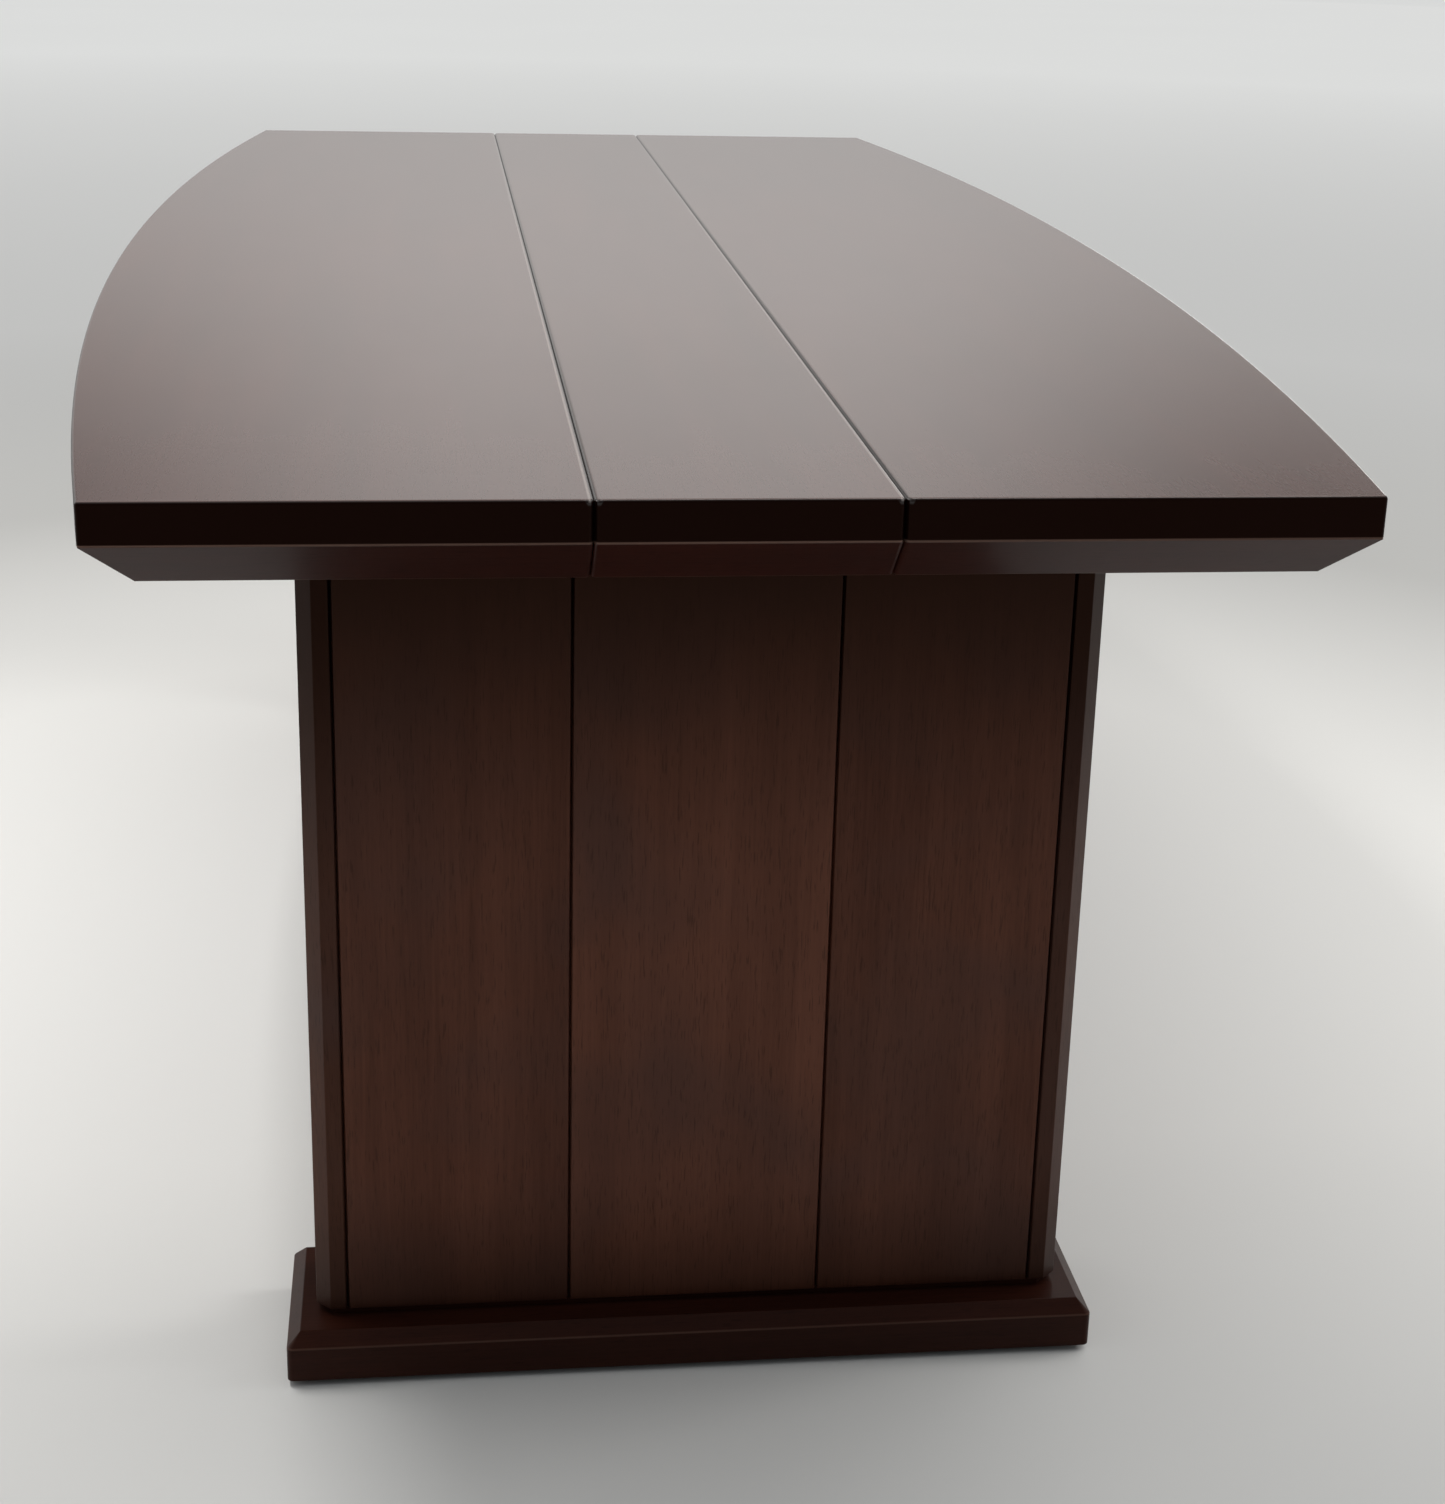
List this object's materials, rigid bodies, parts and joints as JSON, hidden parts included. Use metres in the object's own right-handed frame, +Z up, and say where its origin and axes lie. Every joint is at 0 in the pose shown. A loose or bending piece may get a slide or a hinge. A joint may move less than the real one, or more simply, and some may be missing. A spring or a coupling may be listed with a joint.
{
  "type": "meeting table",
  "caption": "Boat-shaped wooden meeting table: a long veneered top with bowed sides and a bevelled under-edge, on two panelled slab legs with chamfered plinths and levelling feet.",
  "frame": {"origin": "on the floor under the middle of the top: the bottom centre of the whole table", "axes": "+X across the table, +Y along it from the near end to the far end, +Z up"},
  "size_m": [0.995, 2.1, 0.765],
  "materials": {
    "top_veneer": "dark brown veneer under glossy lacquer",
    "leg_veneer": "dark brown vertical-grain veneer under satin lacquer",
    "plinth_veneer": "very dark brown veneer under glossy lacquer",
    "core_wood": "planed, unfinished",
    "black_steel": "black powder coat",
    "zinc_steel": "zinc plated",
    "foot_steel": "dull plated steel"
  },
  "bodies": {
    "table": {"edge_strip_far_centre": "top_veneer", "edge_strip_far_left": "top_veneer", "edge_strip_far_right": "top_veneer", "edge_strip_left_side": "top_veneer", "edge_strip_near_centre": "top_veneer", "edge_strip_near_left": "top_veneer", "edge_strip_near_right": "top_veneer", "edge_strip_right_side": "top_veneer", "leg_far_bottom_rail": "core_wood", "leg_far_inner_board_centre": "leg_veneer", "leg_far_inner_board_left": "leg_veneer", "leg_far_inner_board_right": "leg_veneer", "leg_far_neck": "plinth_veneer", "leg_far_outer_board_centre": "leg_veneer", "leg_far_outer_board_left": "leg_veneer", "leg_far_outer_board_right": "leg_veneer", "leg_far_stile_left": "leg_veneer", "leg_far_stile_right": "leg_veneer", "leg_far_top_plate": "black_steel", "leg_far_top_plate_screws": "zinc_steel", "leg_far_top_rail": "core_wood", "leg_near_bottom_rail": "core_wood", "leg_near_inner_board_centre": "leg_veneer", "leg_near_inner_board_left": "leg_veneer", "leg_near_inner_board_right": "leg_veneer", "leg_near_neck": "plinth_veneer", "leg_near_outer_board_centre": "leg_veneer", "leg_near_outer_board_left": "leg_veneer", "leg_near_outer_board_right": "leg_veneer", "leg_near_stile_left": "leg_veneer", "leg_near_stile_right": "leg_veneer", "leg_near_top_plate": "black_steel", "leg_near_top_plate_screws": "zinc_steel", "leg_near_top_rail": "core_wood", "plinth_far": "plinth_veneer", "plinth_far_foot_inserts": "zinc_steel", "plinth_far_screws": "zinc_steel", "plinth_near": "plinth_veneer", "plinth_near_foot_inserts": "zinc_steel", "plinth_near_screws": "zinc_steel", "stretcher_barrel_nuts": "zinc_steel", "stretcher_beam": "leg_veneer", "stretcher_bolts": "zinc_steel", "top_batten_far": "core_wood", "top_batten_middle": "core_wood", "top_batten_near": "core_wood", "top_batten_screws": "zinc_steel", "top_board_centre": "top_veneer", "top_board_left": "top_veneer", "top_board_right": "top_veneer", "top_joint_tongue_left": "core_wood", "top_joint_tongue_right": "core_wood"},
    "foot_far_left_inner": {"foot_far_left_inner": "foot_steel"},
    "foot_far_left_outer": {"foot_far_left_outer": "foot_steel"},
    "foot_far_right_inner": {"foot_far_right_inner": "foot_steel"},
    "foot_far_right_outer": {"foot_far_right_outer": "foot_steel"},
    "foot_near_left_inner": {"foot_near_left_inner": "foot_steel"},
    "foot_near_left_outer": {"foot_near_left_outer": "foot_steel"},
    "foot_near_right_inner": {"foot_near_right_inner": "foot_steel"},
    "foot_near_right_outer": {"foot_near_right_outer": "foot_steel"}
  },
  "joints": [
    {"name": "foot_far_left_inner_screw", "type": "slide", "parent": "table", "child": "foot_far_left_inner", "axis": [0, 0, -1], "range_m": [0, 0.01]},
    {"name": "foot_far_left_outer_screw", "type": "slide", "parent": "table", "child": "foot_far_left_outer", "axis": [0, 0, -1], "range_m": [0, 0.01]},
    {"name": "foot_far_right_inner_screw", "type": "slide", "parent": "table", "child": "foot_far_right_inner", "axis": [0, 0, -1], "range_m": [0, 0.01]},
    {"name": "foot_far_right_outer_screw", "type": "slide", "parent": "table", "child": "foot_far_right_outer", "axis": [0, 0, -1], "range_m": [0, 0.01]},
    {"name": "foot_near_left_inner_screw", "type": "slide", "parent": "table", "child": "foot_near_left_inner", "axis": [0, 0, -1], "range_m": [0, 0.01]},
    {"name": "foot_near_left_outer_screw", "type": "slide", "parent": "table", "child": "foot_near_left_outer", "axis": [0, 0, -1], "range_m": [0, 0.01]},
    {"name": "foot_near_right_inner_screw", "type": "slide", "parent": "table", "child": "foot_near_right_inner", "axis": [0, 0, -1], "range_m": [0, 0.01]},
    {"name": "foot_near_right_outer_screw", "type": "slide", "parent": "table", "child": "foot_near_right_outer", "axis": [0, 0, -1], "range_m": [0, 0.01]}
  ]
}
